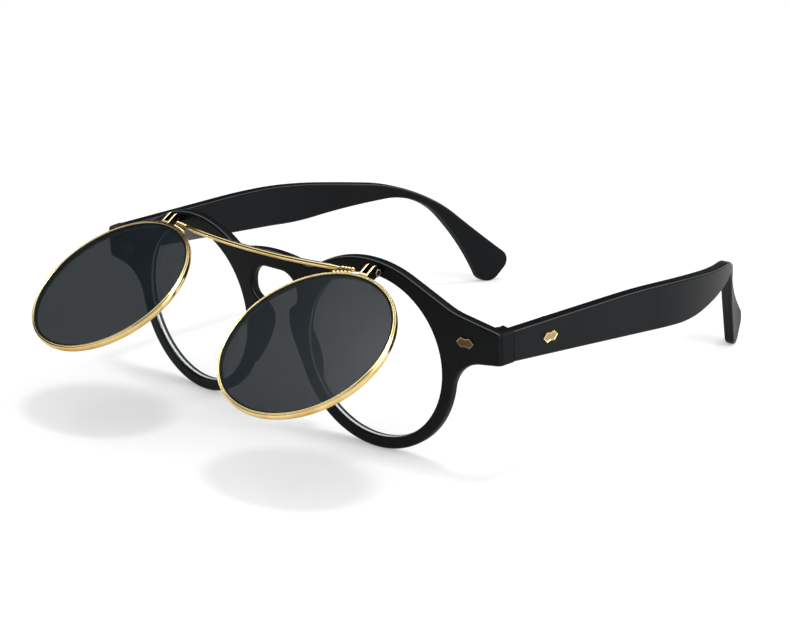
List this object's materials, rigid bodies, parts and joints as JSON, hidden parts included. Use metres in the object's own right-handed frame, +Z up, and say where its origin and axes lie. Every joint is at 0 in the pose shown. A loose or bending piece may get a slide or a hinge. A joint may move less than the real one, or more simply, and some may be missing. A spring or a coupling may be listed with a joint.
{
  "type": "flip-up sunglasses",
  "caption": "Round black plastic eyeglasses with a keyhole bridge and folding temples, carrying a gold wire clip of tinted round lenses that flips up on hinges over the rims.",
  "frame": {"origin": "on the floor under the middle of the overall box, with the clip flipped up as pictured", "axes": "+X to the wearer's left, -Y the way the front faces, +Z up; the glasses stand on the rims and the temple tips"},
  "size_m": [0.1498, 0.19, 0.0502],
  "materials": {
    "black_plastic": "fine matte, soft sheen",
    "gold_metal": "polished gold plating",
    "dark_metal": "black plated",
    "tinted_lens": "see-through dark grey",
    "clear_lens": "clear",
    "old_brass": "aged, dull",
    "hinge_steel": "satin"
  },
  "bodies": {
    "front": {"front_frame": "black_plastic", "clear_lens_left": "clear_lens", "clear_lens_right": "clear_lens", "nose_pad_left": "black_plastic", "nose_pad_right": "black_plastic", "flip_knuckle_left": "dark_metal", "flip_knuckle_right": "dark_metal", "front_hinge_leaf_left": "hinge_steel", "front_hinge_leaf_right": "hinge_steel", "front_rivet_left": "old_brass", "front_rivet_right": "old_brass"},
    "clip": {"top_bar": "gold_metal", "flip_rim_left": "gold_metal", "flip_rim_right": "gold_metal", "tinted_lens_left": "tinted_lens", "tinted_lens_right": "tinted_lens", "flip_fork_left": "gold_metal", "flip_fork_right": "gold_metal", "flip_pin_left": "dark_metal", "flip_pin_right": "dark_metal", "bar_block_left": "gold_metal", "bar_block_right": "gold_metal"},
    "temple_left": {"temple_left": "black_plastic", "temple_hinge_leaf_left": "hinge_steel", "temple_rivet_left": "gold_metal", "hinge_screw_left": "hinge_steel"},
    "temple_right": {"temple_right": "black_plastic", "temple_hinge_leaf_right": "hinge_steel", "temple_rivet_right": "gold_metal", "hinge_screw_right": "hinge_steel"}
  },
  "joints": [
    {"name": "flip", "type": "hinge", "parent": "front", "child": "clip", "pos_m": [0, -0.05292, 0.04785], "axis": [-1, 0, 0], "range_deg": [-60, 40]},
    {"name": "fold_left", "type": "hinge", "parent": "front", "child": "temple_left", "pos_m": [0.0676, -0.04214, 0.03431], "axis": [0, -0.0634, 0.998], "range_deg": [0, 82]},
    {"name": "fold_right", "type": "hinge", "parent": "front", "child": "temple_right", "pos_m": [-0.0676, -0.04214, 0.03431], "axis": [0, 0.0634, -0.998], "range_deg": [0, 70]}
  ]
}
